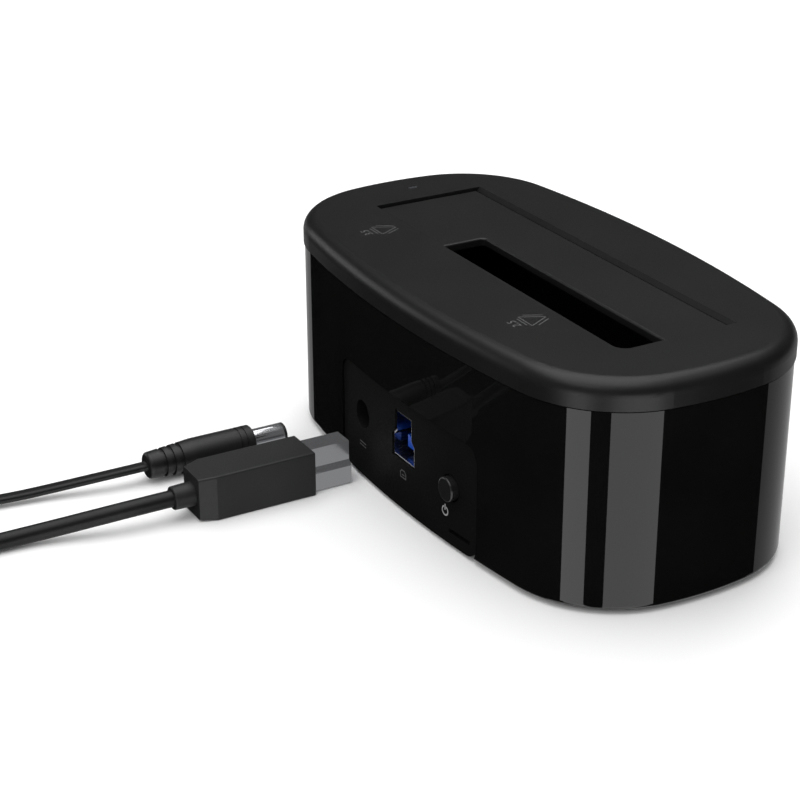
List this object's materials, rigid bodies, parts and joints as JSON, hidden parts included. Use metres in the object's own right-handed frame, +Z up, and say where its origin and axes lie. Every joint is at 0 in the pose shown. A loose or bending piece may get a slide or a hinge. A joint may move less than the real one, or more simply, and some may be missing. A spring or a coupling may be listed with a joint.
{
  "type": "hard drive docking station",
  "caption": "Upright drive dock with a sprung slot flap over a drive well, rear data and power sockets, a push button, a data lead and a power lead with its adapter.",
  "frame": {"origin": "centre of the dock's footprint on the table, without the leads", "axes": "+X along the dock, +Y out of the rear face with the sockets, +Z up"},
  "size_m": [0.1832, 0.2483, 0.0535],
  "materials": {
    "matte_cover": "fine satin texture",
    "matte_flap": "fine satin texture",
    "gloss_shell": "polished",
    "panel_plastic": "fine matte texture",
    "cover_plastic": "spark-eroded texture",
    "well_plastic": "plain moulded",
    "foot_rubber": "matte",
    "screw_steel": "zinc plated",
    "pin_steel": "ground",
    "spring_steel": "drawn wire",
    "board_laminate": "solder mask",
    "connector_plastic": "moulded",
    "contact_metal": "plated",
    "socket_steel": "nickel plated",
    "blue_plastic": "moulded",
    "button_plastic": "polished",
    "switch_plastic": "moulded",
    "switch_metal": "tinned",
    "chip_plastic": "moulded",
    "coil_ferrite": "pressed ferrite",
    "can_aluminium": "drawn",
    "lamp_plastic": "moulded",
    "clear_plastic": "polished",
    "plug_steel": "nickel plated",
    "grip_plastic": "moulded",
    "cord_rubber": "extruded",
    "tie_fabric": "moulded band",
    "barrel_metal": "nickel plated",
    "tip_plastic": "moulded",
    "adapter_plastic": "spark-eroded texture"
  },
  "bodies": {
    "dock": {"adapter_blades": "contact_metal", "adapter_case": "adapter_plastic", "adapter_relief": "cord_rubber", "board_screws": "screw_steel", "body_shell": "gloss_shell", "bottom_cover": "cover_plastic", "bridge_chip": "chip_plastic", "capacitors": "can_aluminium", "case_screws": "screw_steel", "connector_contacts": "contact_metal", "dc_cord": "cord_rubber", "dc_cord_coil": "cord_rubber", "dc_cord_tail": "cord_rubber", "dc_cord_tie": "tie_fabric", "dc_jack": "connector_plastic", "dc_jack_pin": "contact_metal", "dc_plug_barrel": "barrel_metal", "dc_plug_grip": "grip_plastic", "dc_plug_tip": "tip_plastic", "drive_connector": "connector_plastic", "drive_well": "well_plastic", "flap_springs": "spring_steel", "hinge_pin": "pin_steel", "io_panel": "panel_plastic", "light_pipe": "clear_plastic", "main_board": "board_laminate", "power_coil": "coil_ferrite", "power_switch": "switch_metal", "rubber_feet": "foot_rubber", "status_lamp": "lamp_plastic", "top_cover": "matte_cover", "usb_a_grip": "grip_plastic", "usb_a_insert": "blue_plastic", "usb_a_relief": "cord_rubber", "usb_a_shell": "plug_steel", "usb_cord": "cord_rubber", "usb_cord_coil": "cord_rubber", "usb_cord_tail": "cord_rubber", "usb_cord_tie": "tie_fabric", "usb_plug_collar": "cord_rubber", "usb_plug_grip": "grip_plastic", "usb_plug_insert": "blue_plastic", "usb_plug_shell": "plug_steel", "usb_port_base": "connector_plastic", "usb_port_insert": "blue_plastic", "usb_port_shell": "socket_steel", "well_screws": "screw_steel"},
    "flap": {"slot_flap": "matte_flap"},
    "button": {"power_button": "button_plastic", "switch_plunger": "switch_plastic"}
  },
  "joints": [
    {"name": "flap_hinge", "type": "hinge", "parent": "dock", "child": "flap", "pos_m": [0, -0.018, 0.0495], "axis": [-1, 0, 0], "range_deg": [0, 90], "stiffness_Nm_per_rad": 0.004, "springref_deg": -28.65, "deforming": ["flap_springs"]},
    {"name": "button_press", "type": "slide", "parent": "dock", "child": "button", "axis": [0, -1, 0], "range_m": [0, 0.0015], "stiffness_N_per_m": 500, "springref_m": -0.001}
  ]
}
